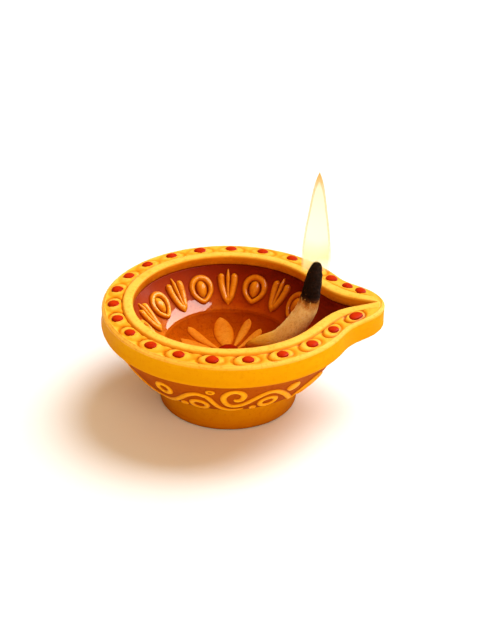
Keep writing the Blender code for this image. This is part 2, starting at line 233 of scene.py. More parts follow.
def smooth_path(points, count):
    """Catmull-Rom curve through the points, evenly spaced by length."""
    points = np.array(points, float)
    padded = np.vstack([2 * points[0] - points[1], points, 2 * points[-1] - points[-2]])
    fine = []
    for p0, p1, p2, p3 in zip(padded, padded[1:], padded[2:], padded[3:]):
        for t in np.linspace(0, 1, 24, endpoint=False):
            square = (2 * p0 - 5 * p1 + 4 * p2 - p3) * t**2
            cube = (3 * p1 - p0 - 3 * p2 + p3) * t**3
            fine.append(0.5 * (2 * p1 + (p2 - p0) * t + square + cube))
    fine.append(points[-1])
    fine = np.array(fine)
    length = np.concatenate([[0], np.cumsum(np.linalg.norm(np.diff(fine, axis=0), axis=1))])
    even = np.linspace(0, length[-1], count)
    return np.stack([np.interp(even, length, column) for column in fine.T], axis=1)


profile_curve = smooth_path(BODY_PROFILE, 60)


def profile_radius(z):
    return np.interp(z, profile_curve[:, 1], profile_curve[:, 0])


# ---- meshes
def new_object(name, data):
    obj = bpy.data.objects.new(name, data)
    bpy.context.scene.collection.objects.link(obj)
    return obj


class Shell:
    """Gathers skinned bodies into one mesh: vertices, faces, a tone per vertex and a slot per face."""

    def __init__(self):
        self.vertices, self.faces, self.tone, self.slots = [], [], [], []

    def skin(self, rings, tones=None, close=False, slots=None, flip=False):
        """Skins rings of equally many points; ends are capped, or joined if close."""
        start = len(self.vertices)
        count = len(rings[0])
        for k, points in enumerate(rings):
            self.vertices.extend(points)
            tone = 0.5 if tones is None else tones[k]
            self.tone.extend(np.broadcast_to(tone, (count,)).tolist())
        rows = [start + k * count for k in range(len(rings))]
        pairs = list(zip(rows, rows[1:] + rows[:1]))
        if not close:
            pairs.pop()
        slots = [0] * len(pairs) if slots is None else slots
        made = []
        for (low, high), slot in zip(pairs, slots):
            for i in range(count):
                j = (i + 1) % count
                made.append((low + i, low + j, high + j, high + i))
                self.slots.append(slot)
        if not close:
            made.append(tuple(range(start, start + count))[::-1])
            made.append(tuple(range(rows[-1], rows[-1] + count)))
            self.slots += [slots[0], slots[-1]]
        self.faces += [face[::-1] for face in made] if flip else made

    def build(self, name, *materials):
        mesh = bpy.data.meshes.new(name)
        mesh.from_pydata((np.array(self.vertices) * MM).tolist(), [], self.faces)
        mesh.polygons.foreach_set("use_smooth", [True] * len(mesh.polygons))
        tone = mesh.attributes.new("tone", "FLOAT", "POINT")
        tone.data.foreach_set("value", np.array(self.tone, np.float32))
        for mat in materials:
            mesh.materials.append(mat)
        mesh.polygons.foreach_set("material_index", self.slots)
        mesh.update()
        return new_object(name, mesh)


def polar(radius, z, angles=ANGLES):
    radius = np.broadcast_to(radius, np.shape(angles))
    z = np.broadcast_to(z, np.shape(angles))
    return np.stack([radius * np.cos(angles), radius * np.sin(angles), z], axis=1)


def ribbon(shell, path, half_width, half_height, place, sides=14, sink=0.0, edge_tone=0.0, closed=False):
    """A rounded strip along a flat path, raised from a surface; place maps (across, along, height)."""
    path = np.array(path, float)
    count = len(path)
    if closed:
        tangent = np.roll(path, -1, axis=0) - np.roll(path, 1, axis=0)
    else:
        tangent = np.gradient(path, axis=0)
    tangent /= np.maximum(np.linalg.norm(tangent, axis=1, keepdims=True), 1e-9)
    normal = np.stack([-tangent[:, 1], tangent[:, 0]], axis=1)
    half_width = np.broadcast_to(half_width, (count,))
    half_height = np.broadcast_to(half_height, (count,))
    turn = circle(sides)
    # Painted shading: each strip is lightest along its top and darkest, at edge_tone, along its edges.
    tone = edge_tone + (1 - edge_tone) * np.clip(np.sin(turn), 0, 1)
    rings = []
    for k in range(count):
        across = half_width[k] * np.cos(turn)
        flat = path[k] + across[:, None] * normal[k]
        rings.append(place(flat[:, 0], flat[:, 1], half_height[k] * np.sin(turn) - sink))
    shell.skin(rings, [tone] * count, close=closed)


def taper(count, start, end):
    """Rounded ends: rises from a point at each end of a strip."""
    t = np.linspace(0, 1, count)
    ends = np.minimum(np.clip(t / start, 0, 1), np.clip((1 - t) / end, 0, 1))
    return np.maximum(np.sqrt(np.maximum(1 - (1 - ends) ** 2, 0)), 0.02)


def relief(x, y, z, scale, seed):
    """Smooth noise in -1..1 at points in millimetres."""
    return np.array([noise.noise(Vector((a / scale + seed, b / scale - seed, c / scale)))
                     for a, b, c in zip(x, y, z)])


def ring_relief(radii, z, scale, seed):
    """The same round one ring of the lamp's columns."""
    return relief(radii * np.cos(ANGLES), radii * np.sin(ANGLES), np.broadcast_to(z, (COLUMNS,)), scale, seed)


# ---- materials
PATCH_SCALE = 60.0
STROKE_SCALE = 192.0
GRAIN_SCALE = 900.0
PATCH_SHARE = 0.35


def add(tree, kind, inputs=None, **settings):
    """A shader node, its settings, and its inputs as values or as sockets to link."""
    node = tree.nodes.new("ShaderNode" + kind)
    for key, value in settings.items():
        setattr(node, key, value)
    for key, value in (inputs or {}).items():
        if isinstance(value, bpy.types.NodeSocket):
            tree.links.new(value, node.inputs[key])
        else:
            node.inputs[key].default_value = value
    return node


def new_material(name):
    """A material with no nodes but the object's own coordinates."""
    mat = bpy.data.materials.new(name)
    mat.use_nodes = True
    tree = mat.node_tree
    tree.nodes.clear()
    return mat, tree, add(tree, "TexCoord").outputs["Object"]


def surface(tree, shader):
    add(tree, "OutputMaterial", {"Surface": shader.outputs[0]})


def principled(tree, colour, roughness, specular, **others):
    inputs = {"Base Color": colour, "Roughness": roughness, "Specular IOR Level": specular, **others}
    surface(tree, add(tree, "BsdfPrincipled", inputs))


def layered(tree, factor, under, over):
    surface(tree, add(tree, "MixShader", {0: factor, 1: under.outputs[0], 2: over.outputs[0]}))


def srgb(red, green, blue):
    """A paint colour from its 0 to 255 swatch values."""
    shares = [value / 255 for value in (red, green, blue)]
    return (*[((c + 0.055) / 1.055) ** 2.4 if c > 0.04 else c / 12.92 for c in shares], 1.0)


def ramp(tree, factor, *stops):
    """Each stop is (position, grey) or (position, red, green, blue), in swatch values."""
    node = add(tree, "ValToRGB", {"Fac": factor})
    elements = node.color_ramp.elements
    while len(elements) < len(stops):
        elements.new(0.5)
    for element, (position, *value) in zip(elements, stops):
        element.position = position
        element.color = srgb(*value) if len(value) == 3 else (*value * 3, 1.0)
    return node.outputs["Color"]


def blend(tree, factor, a, b, mode="MIX"):
    return add(tree, "Mix", {0: factor, 6: a, 7: b}, data_type="RGBA", blend_type=mode).outputs[2]


def tone_of(tree):
    return add(tree, "Attribute", attribute_name="tone").outputs["Fac"]


def cloud(tree, place, scale, detail, roughness=0.5, distortion=0.0):
    inputs = {"Vector": place, "Scale": scale, "Detail": detail, "Roughness": roughness}
    return add(tree, "TexNoise", {**inputs, "Distortion": distortion}).outputs["Fac"]


def stretched(tree, place, scale):
    return add(tree, "Mapping", {"Vector": place, "Scale": scale}).outputs["Vector"]


def scaled(tree, value, factor, addend):
    return add(tree, "Math", {0: value, 1: factor, 2: addend}, operation="MULTIPLY_ADD").outputs[0]


def wander(tree, value, source, amount):
    """The value, moved up and down by a noise."""
    centred = add(tree, "Math", {0: source, 1: 0.5}, operation="SUBTRACT").outputs[0]
    return scaled(tree, centred, amount, value)


def bumped(tree, height, strength, distance, **under):
    inputs = {"Height": height, "Strength": strength, "Distance": distance, **under}
    return add(tree, "Bump", inputs).outputs["Normal"]


def painted(name, tones, mottle, fleck, roughness, bump, specular, spread=0.09, coat=0.0, coat_roughness=0.1):
    """Hand-laid paint or glaze. tones runs over the tone attribute; mottle tints the patches."""
    mat, tree, place = new_material(name)
    patches = cloud(tree, place, PATCH_SCALE, 5.0, roughness=0.6)
    fine = cloud(tree, place, GRAIN_SCALE, 3.0, roughness=0.7)
    strokes = cloud(tree, stretched(tree, place, (1.0, 1.0, 3.5)), STROKE_SCALE, 4.0, distortion=0.6)
    colour = ramp(tree, wander(tree, tone_of(tree), patches, spread * 4), *tones)
    share = ramp(tree, strokes, (0.45, 0.0), (0.75, PATCH_SHARE))
    colour = blend(tree, share, colour, srgb(*mottle))
    speck = ramp(tree, fine, (0.34, 0.45), (0.48, 0.0))
    colour = blend(tree, speck, colour, srgb(*fleck))
    rough = ramp(tree, patches, (0.3, roughness * 0.8), (0.7, roughness * 1.25))
    low = bumped(tree, strokes, bump, 0.0006)
    high = bumped(tree, fine, bump * 1.6, 0.00012, Normal=low)
    coating = {"Coat Weight": coat, "Coat Roughness": coat_roughness}
    principled(tree, colour, rough, specular, Normal=high, **coating)
    return mat


rim_paint = painted(
    "rim_paint", [(0.0, 150, 62, 0), (0.35, 214, 122, 2), (0.7, 241, 172, 42), (1.0, 249, 193, 78)],
    (236, 154, 24), (224, 134, 10), roughness=0.42, bump=0.1, specular=0.08, coat=0.03, coat_roughness=0.2)
band_paint = painted(
    "band_paint", [(0.0, 182, 98, 0), (0.5, 220, 148, 0), (1.0, 232, 168, 4)],
    (222, 140, 0), (216, 136, 0), roughness=0.55, bump=0.06, specular=0.02)
foot_colour = painted(
    "foot_colour", [(0.0, 60, 22, 0), (0.14, 140, 68, 0), (0.32, 188, 106, 0), (1.0, 220, 144, 0)],
    (196, 108, 0), (186, 98, 0), roughness=0.55, bump=0.1, specular=0.02, spread=0.03)
body_clay = painted(
    "body_clay", [(0.0, 138, 52, 0), (0.5, 167, 74, 0), (1.0, 181, 88, 4)],
    (160, 66, 0), (148, 56, 0), roughness=0.55, bump=0.09, specular=0.02)
GLAZE_TONES = [(0.0, 88, 10, 0), (0.2, 130, 32, 0), (0.4, 162, 56, 0), (0.6, 184, 86, 0), (0.8, 216, 120, 0),
               (1.0, 234, 138, 4)]
inner_glaze = painted(
    "inner_glaze", GLAZE_TONES, (150, 36, 0), (128, 26, 0), roughness=0.4, bump=0.04, specular=0.03,
    spread=0.05, coat=0.04, coat_roughness=0.12)
wet_glaze = painted(
    "wet_glaze", GLAZE_TONES, (150, 36, 0), (128, 26, 0), roughness=0.4, bump=0.015, specular=0.03,
    spread=0.05, coat=1.0, coat_roughness=0.03)
drowned_glaze = painted(
    "drowned_glaze", GLAZE_TONES, (150, 46, 0), (128, 36, 0), roughness=0.5, bump=0.05, specular=0.02,
    spread=0.06)
gold_paint = painted(
    "gold_paint", [(0.0, 92, 12, 0), (0.35, 164, 62, 0), (0.7, 216, 126, 6), (1.0, 246, 174, 40)],
    (206, 104, 4), (170, 70, 2), roughness=0.35, bump=0.1, specular=0.06, coat=0.45, coat_roughness=0.08)
slip_paint = painted(
    "slip_paint", [(0.0, 140, 54, 0), (0.35, 214, 122, 0), (0.75, 236, 156, 4), (1.0, 244, 174, 14)],
    (228, 140, 0), (208, 116, 0), roughness=0.45, bump=0.1, specular=0.06)
red_paint = painted(
    "red_paint", [(0.0, 110, 8, 0), (0.5, 172, 32, 0), (1.0, 196, 48, 4)],
    (160, 22, 0), (140, 14, 0), roughness=0.45, bump=0.14, specular=0.03, coat=0.03, coat_roughness=0.2)
petal_paint = painted(
    "petal_paint", [(0.0, 180, 74, 0), (0.3, 236, 138, 14), (0.7, 252, 176, 60), (1.0, 255, 192, 92)],
    (242, 136, 20), (224, 112, 8), roughness=0.45, bump=0.06, specular=0.15)


def make_cotton():
    """Twisted cotton: oily at the foot, dry and pale above, scorched just under the char."""
    mat, tree, place = new_material("cotton_fibre")
    tone = tone_of(tree)
    twist = cloud(tree, stretched(tree, place, (1.0, 2.4, 0.7)), 1400.0, 4.0, distortion=1.2)
    patches = cloud(tree, place, 320.0, 4.0)
    colour = ramp(tree, wander(tree, tone, patches, 0.16), (0.0, 206, 126, 10), (0.25, 222, 158, 50),
                  (0.55, 250, 212, 128), (0.86, 255, 224, 152), (0.93, 206, 140, 62), (0.98, 72, 34, 12))
    dark = ramp(tree, twist, (0.35, 0.35), (0.5, 0.0))
    colour = blend(tree, dark, colour, srgb(186, 122, 44))
    pale = ramp(tree, twist, (0.55, 0.0), (0.72, 0.6))
    dry = ramp(tree, tone, (0.25, 0.0), (0.7, 1.0), (0.93, 0.8), (0.97, 0.0))
    colour = blend(tree, blend(tree, 1.0, pale, dry, "MULTIPLY"), colour, srgb(255, 232, 190))
    rough = ramp(tree, tone, (0.12, 0.25), (0.5, 0.9))
    principled(tree, colour, rough, 0.08, Normal=bumped(tree, twist, 0.5, 0.0004))
    return mat


def make_soot():
    """Burnt cotton: sooty black with ashy flecks and a crumbly surface."""
    mat, tree, place = new_material("char_soot")
    crumb = cloud(tree, place, 1100.0, 5.0, roughness=0.7)
    ash = add(tree, "TexVoronoi", {"Vector": place, "Scale": 900.0}).outputs["Distance"]
    colour = ramp(tree, crumb, (0.3, 12, 5, 2), (0.6, 34, 17, 7), (0.8, 60, 32, 14))
    brown = ramp(tree, tone_of(tree), (0.0, 0.75), (0.12, 0.0))
    colour = blend(tree, brown, colour, srgb(86, 44, 16))
    fleck = ramp(tree, ash, (0.05, 0.8), (0.12, 0.0))
    patch = ramp(tree, crumb, (0.54, 0.0), (0.6, 1.0))
    colour = blend(tree, blend(tree, 1.0, fleck, patch, "MULTIPLY"), colour, srgb(214, 150, 76))
    principled(tree, colour, 0.92, 0.15, Normal=bumped(tree, crumb, 0.8, 0.0005))
    return mat


def make_oil_material(name, glossy):
    """Clear lamp oil: amber where light passes through it; only the free surface is glossy."""
    mat, tree, place = new_material(name)
    ripple = cloud(tree, place, 90.0, 2.0)
    share = ramp(tree, ripple, (0.3, 0.0), (0.7, 1.0))
    tint = blend(tree, share, (0.88, 0.78, 0.56, 1.0), (0.92, 0.82, 0.62, 1.0))
    clear = add(tree, "BsdfTransparent", {"Color": tint})
    if not glossy:
        surface(tree, clear)
        return mat
    normal = bumped(tree, ripple, 0.05, 0.0005)
    shine = add(tree, "BsdfGlossy", {"Color": (1.0, 0.92, 0.80, 1.0), "Roughness": 0.14, "Normal": normal})
    edge = add(tree, "Fresnel", {"IOR": 1.22, "Normal": normal})
    layered(tree, edge.outputs["Fac"], clear, shine)
    return mat


def make_flame_material(name, colours, opacity, strength):
    """One veil of the flame: its colour and its opacity change with height."""
    mat, tree, place = new_material(name)
    height = add(tree, "SeparateXYZ", {"Vector": place}).outputs["Z"]
    height = scaled(tree, cloud(tree, place, 120.0, 2.0), 0.003, height)
    span = {"Value": height, "From Min": flame_low[2] * MM, "From Max": flame_high[2] * MM}
    rise = add(tree, "MapRange", span).outputs["Result"]
    glow = add(tree, "Emission", {"Color": ramp(tree, rise, *colours), "Strength": strength})
    layered(tree, ramp(tree, rise, *opacity), add(tree, "BsdfTransparent"), glow)
    return mat


# ---- the lamp's clay body
CLAY, DRY, DROWNED, WET = range(4)


def inside_wall_radii(z):
    """The bowl's round inside, with the spout's channel where it is deep enough to reach it."""
    radius = inside_radius_at(z)
    tip = THROAT_TIP - CHANNEL_RUN * (CHANNEL_TOP_Z - z)
    ease = THROAT_BLEND * float(smooth_step((tip - radius + 3.0) / 6.0))
    if tip > THROAT_START and ease > 0:
        return throat_radius(ANGLES, radius, tip, 0.0, ease)
    return np.full(COLUMNS, radius)


def is_wet(x, y, z):
    away = math.remainder(math.atan2(y, x) - WET_MIDDLE, 2 * math.pi) / WET_SPREAD
    return z < OIL_LEVEL + 0.1 + WET_HEIGHT * math.exp(-away * away)


def make_bowl():
    shell = Shell()
    rings, tones, slots = [], [], []
    for radius, z in profile_curve:
        radii = body_radius(ANGLES, radius)
        rings.append(polar(radii + 0.08 * ring_relief(radii, z, 9.0, 3.0), z))
        # Darker towards the bottom, where the body turns under: painted shade.
        tones.append(0.25 + 0.6 * (z - BODY_LOW_Z) / (BODY_HIGH_Z - BODY_LOW_Z))
        slots.append(CLAY)
    for z in (SPOUT_SHELF_Z, 28.0, MOUTH_Z - 0.3):
        rings.append(polar(neck_radius(ANGLES), z))
        tones.append(0.5)
        slots.append(CLAY)
    wall_heights = np.linspace(MOUTH_Z, 20.0, 60)
    floor_heights = [inside_height_at(radius) for radius in np.linspace(20.8, 1.0, 24)]
    # Painted shade: the glaze tone is lowest round the spout side, where the wall faces away from the light,
    # and highest across from it; it also runs darker towards the mouth.
    thin = 0.5 - 0.5 * np.cos(ANGLES - SHADED_SIDE)
    for z in [*wall_heights, *floor_heights]:
        radii = inside_wall_radii(z)
        calm = min(inside_radius_at(z) / 20, 1)
        rings.append(polar(radii + 0.1 * ring_relief(radii, z, 8.0, 7.0) * calm, z))
        depth = np.clip((MOUTH_Z - z) / (MOUTH_Z - FLOOR_Z), 0, 1)
        tones.append(np.clip(0.62 * depth**1.3 + 0.36 * thin, 0, 1))
        slots.append(DRY if z > OIL_LEVEL else DROWNED)
    shell.skin(rings, tones, slots=slots[1:])
    for index, face in enumerate(shell.faces):
        if shell.slots[index] == DRY and is_wet(*shell.vertices[face[0]]):
            shell.slots[index] = WET
    return shell.build("clay_bowl", body_clay, inner_glaze, drowned_glaze, wet_glaze)


def bead_places():
    """Azimuth and radius of each bead, and the angle between the rim there and a plain circle."""
    places = []
    step = 0.06
    for number in range(1, BEAD_COUNT + 1):
        azimuth, radius = place_of(f"rim_bead_{number:02d}")
        before, after = rim_radius(np.array([azimuth - step, azimuth + step]))
        slant = math.atan2((after - before) / (2 * step), (after + before) / 2)
        places.append((azimuth, radius, 0.9 * slant))
    return places


BEADS = bead_places()


def rim_top(angles, radii):
    """Height and tone of the rim's top between the lip and the edge: the pressed cups. The tone carries
    painted shade in the grooves, crescents and bead seats and a painted highlight on the swells.
    """
    height = np.zeros_like(radii)
    tone = np.full_like(radii, 0.78)
    for azimuth, bead_radius, slant in BEADS:
        if PLAIN_FROM < azimuth < PLAIN_TO:
            continue
        turn = np.remainder(angles - azimuth + np.pi, 2 * np.pi) - np.pi
        around, outward = turn * bead_radius, radii - bead_radius
        near = np.abs(around) < CUP_REACH
        along = around * math.cos(slant) + outward * math.sin(slant)
        out = outward * math.cos(slant) - around * math.sin(slant)
        reach = np.hypot(along, out)
        side = along / np.maximum(reach, 0.1)
        at_spout = smooth_step((math.cos(azimuth) - 0.82) / 0.12)
        front_right = smooth_step((math.cos(azimuth + 0.6) - 0.1) / 0.6)
        edge = np.hypot(along / (CUP_LENGTH - 0.3 * at_spout), (out + 0.1) / (CUP_WIDTH - 0.5 * at_spout))
        far = azimuth < -math.pi * 0.98 or azimuth > 0.35
        clockwise = np.clip(-side, 0, 1) * (0.4 if far else 1.0)
        groove = ridge(edge - 1.0, 0.13) * (0.35 + 0.65 * clockwise)
        swell = smooth_step((1.05 - edge) / 0.5)
        inner = np.hypot((along - 0.9) / CRESCENT_LENGTH, (out + 0.1) / CRESCENT_WIDTH)
        crescent = ridge(inner - 1.0, 0.16) * np.clip(side, 0, 1) * (0.3 + 0.7 * front_right)
        seat = ridge(reach - BEAD_SIZE, 0.3)
        cup = -0.62 * groove + 0.25 * swell - 0.42 * crescent - 0.14 * seat
        # Painted shade in the grooves, crescents and bead seats; a painted highlight on the swell.
        painted_shading = -0.75 * groove + 0.12 * swell - 0.6 * crescent - 0.35 * seat
        height += np.where(near, cup, 0.0)
        tone += np.where(near, painted_shading, 0.0)
    return height, np.clip(tone, 0, 1)


def make_collar():
    """One closed skin: down the neck, round the band, over the edge, the beaded zone and the lip."""
    shell = Shell()
    rings, tones, slots = [], [], []
    rim = rim_radius(ANGLES)
    flares = flare(ANGLES)
    lip_inside = lip_radius(ANGLES, 0.0)
    lip_outside = lip_radius(ANGLES, LIP_WIDTH)
    top, band = 0, 1

    def put(radii, z, tone, slot=top):
        rings.append(polar(radii, z))
        tones.append(tone)
        slots.append(slot)

    # Painted shade and highlight: the band's tone is darkest on the neck and the underside, lightens up the
    # side and is lightest over the edge.
    neck = neck_radius(ANGLES, -0.3)
    put(neck, MOUTH_Z + 0.3, 0.2, band)
    put(neck, BAND_BOTTOM_Z + 0.1, 0.1, band)
    for turn in np.linspace(0, math.pi / 2, 7):
        radii = rim + flares - BAND_ROUNDING * (1 - math.sin(turn))
        put(radii, BAND_BOTTOM_Z + BAND_ROUNDING * (1 - math.cos(turn)), 0.25 + 0.2 * turn, band)
    edge = trough_z(ANGLES)
    side_low, side_high = BAND_BOTTOM_Z + BAND_ROUNDING, edge - 1.1
    for share in np.linspace(0.08, 1.0, 14):
        radii = rim + flares * (1 - share) ** 1.2
        z = side_low + (side_high - side_low) * share
        wobble = ring_relief(radii, z, 11.0, 5.0) * np.sin(np.pi * share)
        put(radii + 0.12 * wobble - 0.05, z, 0.55 + 0.25 * share, band)
    for turn in np.linspace(0.15, math.pi / 2, 7):
        radii = rim - EDGE_ROUNDING * (1 - math.cos(turn))
        put(radii, edge - 1.0 + 0.95 * math.sin(turn), 0.75 + 0.12 * turn)
    outer, inner = rim - 0.95, lip_outside + 0.1
    width = np.clip((outer - inner) / 4.0, 0, 1)
    for share in np.linspace(0, 1, 40):
        radii = outer + (inner - outer) * share
        height, tone = rim_top(ANGLES, radii)
        brow = ridge(share, 0.08)
        groove = ridge(share - 0.965, 0.05) * width
        fade = width * smooth_step(share / 0.06) * smooth_step((1 - share) / 0.04)
        z = edge + ZONE_RISE * share * width + height * fade + 0.22 * brow - 0.42 * groove
        z += 0.06 * ring_relief(radii, 0.0, 6.0, 1.0)
        # Painted shade in the groove beside the lip and a painted highlight on the brow along the edge.
        tone = 0.78 + (tone - 0.78) * fade - 0.5 * groove + 0.15 * brow
        put(radii, np.minimum(z, LIP_Z + 0.1), np.clip(tone, 0, 1))
    # The lip is painted lighter towards its crown: a painted highlight.
    outer_foot = np.minimum(edge + ZONE_RISE * width, LIP_Z - 0.15)
    for share in np.linspace(0.03, 1.0, 20):
        radii = lip_outside + (lip_inside - lip_outside) * share
        crown = np.sqrt(max(1 - abs(2 * (share - 0.5)) ** 3.2, 0.0))
        foot = outer_foot * (1 - share) + (LIP_Z - 0.7) * share
        put(radii, foot + (LIP_Z - foot) * crown, 0.6 + 0.4 * crown)
    # The inside face is painted darker downwards: painted shade under the lip.
    face_top = LIP_Z - 0.75
    throat = throat_radius(ANGLES, MOUTH_RADIUS, THROAT_TIP - 1.5, 0.05)
    for share in np.linspace(0.12, 1.0, 8):
        radii = lip_inside + (throat - lip_inside) * smooth_step(share)
        put(radii, face_top + (MOUTH_Z + 0.25 - face_top) * share, 0.42 - 0.3 * share)
    shell.skin(rings, tones, close=True, slots=slots)
    return shell.build("painted_collar", rim_paint, band_paint)


def make_foot():
    shell = Shell()
    bottom, top = foot_low[2], foot_high[2]
    widest = foot_high[0]
    count = 192
    angles = circle(count)
    steps = [(0.3, 0.0), (0.8, 0.0)]
    for turn in np.linspace(0, math.pi / 2, 5):
        steps.append((1 - 0.035 * (1 - math.sin(turn)), 0.75 * (1 - math.cos(turn))))
    steps += [(0.978 + 0.017 * (z / top), z) for z in np.linspace(1.4, top - 0.9, 12)]
    steps += [(1.0, top - 0.45), (0.992, top - 0.12), (0.97, top), (0.5, top)]
    rings, tones = [], []
    for share, z in steps:
        radius = widest * share
        if 0.9 < share < 0.999:
            x, y = radius * np.cos(angles), radius * np.sin(angles)
            radius = radius + 0.1 * relief(x, y, np.full(count, z), 8.0, 2.0)
        rings.append(polar(radius, bottom + z, angles))
        # Painted shade: the foot's tone is darkest at its bottom edge, where it meets the floor, and lightens
        # upwards.
        tones.append(0.9 * (z / top) ** 0.55)
    shell.skin(rings, tones)
    return shell.build("turned_foot", foot_colour)


def make_bead(number, azimuth, radius, slant):
    """A pressed clay bead: an uneven dome; the ones along the spout are drawn out into almonds."""
    at_spout = float(smooth_step((math.cos(azimuth) - 0.9) / 0.08))
    size = BEAD_SIZE * (1 + 0.06 * rng.uniform(-1, 1))
    crowded = 0.0 < azimuth < 0.3
    half_length = size * (1 + at_spout * (0.0 if crowded else 0.3))
    half_width = size * (0.92 - 0.06 * at_spout)
    seat_z = float(trough_z(azimuth)) + BEAD_PROUD
    count = 28
    turn = circle(count)
    skew = rng.uniform(-0.25, 0.25)
    shell = Shell()
    rings, tones = [], []
    for share in (0.0, 0.35, 0.6, 0.78, 0.9, 0.97, 1.0):
        spread = math.sqrt(max(1 - share**2.2, 0.0)) if share < 1 else 0.06
        across = half_width * spread * np.cos(turn)
        along = half_length * spread * np.sin(turn) * (1 + 0.1 * np.cos(turn + skew))
        bumps = relief(across, along, np.full(count, share * 2), 1.3, number * 3.7)
        across = across * (1 + 0.05 * bumps)
        out = radius + across * math.cos(slant) + along * math.sin(slant)
        side = along * math.cos(slant) - across * math.sin(slant)
        x = out * math.cos(azimuth) - side * math.sin(azimuth)
        y = out * math.sin(azimuth) + side * math.cos(azimuth)
        rings.append(np.stack([x, y, seat_z + BEAD_HEIGHT * share + 0.05 * bumps * share], axis=1))
        # Painted shading: each dome is darker at its base and lighter on its top.
        tones.append(0.1 + 0.85 * share)
    shell.skin(rings, tones)
    return shell.build(f"bead_{number:02d}", red_paint)


# ---- sprigs and flower inside the bowl
def on_wall(azimuth):
    """Maps (across, up the wall, height) to the curved inside wall round one sprig's middle."""
    radii = np.linspace(8.0, MOUTH_RADIUS, 400)
    heights = inside_height_at(radii)
    climb = np.concatenate([[0], np.cumsum(np.hypot(np.diff(radii), np.diff(heights)))])
    middle = np.interp(SPRIG_Z, heights, climb)

    def place(across, up, height):
        radius = np.interp(middle + up, climb, radii)
        z = np.interp(middle + up, climb, heights)
        slope = 3 * (MOUTH_Z - FLOOR_Z) * radius**2 / MOUTH_RADIUS**3
        length = np.hypot(1.0, slope)
        turn = azimuth - across / SPRIG_RADIUS
        reach = radius - height * slope / length
        return polar(reach, z + height / length, turn)

    return place


def sprig_setting(node):
    """A sprig's place on the wall, the painted shade it carries there (darker on the side of the bowl that
    faces away from the light), and four shares for its shape.
    """
    azimuth, _ = place_of(node)
    shade_factor = 1 - SPRIG_PAINTED_SHADE * (0.5 + 0.5 * math.cos(azimuth - SHADED_SIDE))
    return on_wall(azimuth), shade_factor, rng.uniform(-1, 1, 4)


def egg(count, half_width, half_length, point):
    """An oval outline drawn out to a point at its foot."""
    turn = circle(count)
    foot = np.maximum(0.0, -np.cos(turn)) ** 5
    x = half_width * np.sin(turn) * (1 - 0.25 * foot)
    return np.stack([x, half_length * np.cos(turn) - point * foot], axis=1)


def make_ring_sprig(number):
    place, shade_factor, jitter = sprig_setting(f"sprig_ring_{number}")
    shell = Shell()
    outline = egg(64, 3.25 + 0.12 * jitter[0], 3.9 + 0.12 * jitter[1], 0.6)
    ribbon(shell, outline, 1.06 + 0.1 * np.cos(circle(64)), 1.25, place, sides=16, sink=0.05, closed=True)
    boss = smooth_path([(0.0, -3.0), (0.0, 0.0), (0.0, 2.9)], 30) + [0.1 * jitter[2], 0.0]
    swell = taper(30, 0.5, 0.5)
    ribbon(shell, boss, 1.95 * swell, 1.7 * swell, place, sides=18, sink=0.05, edge_tone=0.05)
    shell.tone = [shade_factor * tone for tone in shell.tone]
    return shell.build(f"ring_sprig_{number}", gold_paint)


def make_tulip_sprig(number):
    """Two outer lobes, a thinner middle prong and a pointed foot that joins them."""
    place, shade_factor, jitter = sprig_setting(f"sprig_tulip_{number}")
    shell = Shell()

    def lobe(points, count, widths, ends, half_width, half_height, fullness, sides):
        path = smooth_path(points, count)
        at, share = zip(*widths)
        swell = np.interp(np.linspace(0, 1, count), at, share) * taper(count, *ends)
        tall = half_height * np.minimum(swell * fullness, 1.0)
        ribbon(shell, path, half_width * swell, tall, place, sides=sides, sink=0.05)

    for side in (-1, 1):
        lean = side * (1 + 0.06 * jitter[1] * side)
        points = [(side * 0.3, -5.6), (side * 1.15, -3.4)]
        points += [(1.8 * lean, -0.6), (2.1 * lean, 2.2), (1.95 * lean, 4.7)]
        widths = [(0, 0.62), (0.2, 0.98), (0.5, 1.02), (0.85, 1.0), (1, 0.86)]
        lobe(points, 44, widths, (0.08, 0.12), 1.25, 1.35, 1.1, 16)
    prong = [(0.0, -4.6), (0.05 * jitter[2], -1.0), (0.0, 2.8), (0.08 * jitter[3], 6.2)]
    lobe(prong, 40, [(0, 0.6), (0.3, 0.66), (0.72, 0.82), (1, 0.25)], (0.1, 0.06), 0.95, 1.35, 1.5, 14)
    foot = [(0.0, -6.3), (0.0, -3.6), (0.0, -1.8)]
    lobe(foot, 24, [(0, 0.1), (0.35, 0.9), (1, 0.5)], (0.1, 0.3), 2.25, 1.1, 1.3, 14)
    shell.tone = [shade_factor * tone for tone in shell.tone]
    return shell.build(f"tulip_sprig_{number}", gold_paint)


PETALS = [  # azimuth, root radius, tip radius, half width
    (165.0, 3.4, 16.2, 2.7), (141.0, 3.6, 17.4, 1.9), (100.5, 3.6, 17.7, 3.4), (68.5, 4.0, 17.8, 1.6),
    (49.0, 4.2, 15.8, 1.5), (29.0, 4.0, 14.2, 1.6), (-2.0, 4.0, 15.0, 1.6), (-32.0, 3.8, 15.6, 1.8),
    (-62.0, 3.6, 16.6, 2.3), (-95.0, 3.6, 17.0, 1.7), (-127.0, 3.6, 16.0, 2.3), (-161.0, 3.6, 16.4, 1.7),
]
# Shares of a petal's length, and of its half width there
BROAD_LEAF = ([0, 0.15, 0.35, 0.55, 0.7, 0.85, 0.94, 0.985, 1],
              [0.25, 0.5, 0.86, 1.0, 0.97, 0.78, 0.52, 0.28, 0.06])
CLUB_LEAF = ([0, 0.15, 0.4, 0.6, 0.78, 0.9, 0.96, 0.99, 1],
             [0.2, 0.36, 0.74, 0.94, 1.0, 0.9, 0.68, 0.4, 0.08])


def on_floor(x, y, height):
    """Maps a flat point and a height above it to the bowl's curved floor."""
    return np.stack([x, y, inside_height_at(np.hypot(x, y)) + height], axis=1)


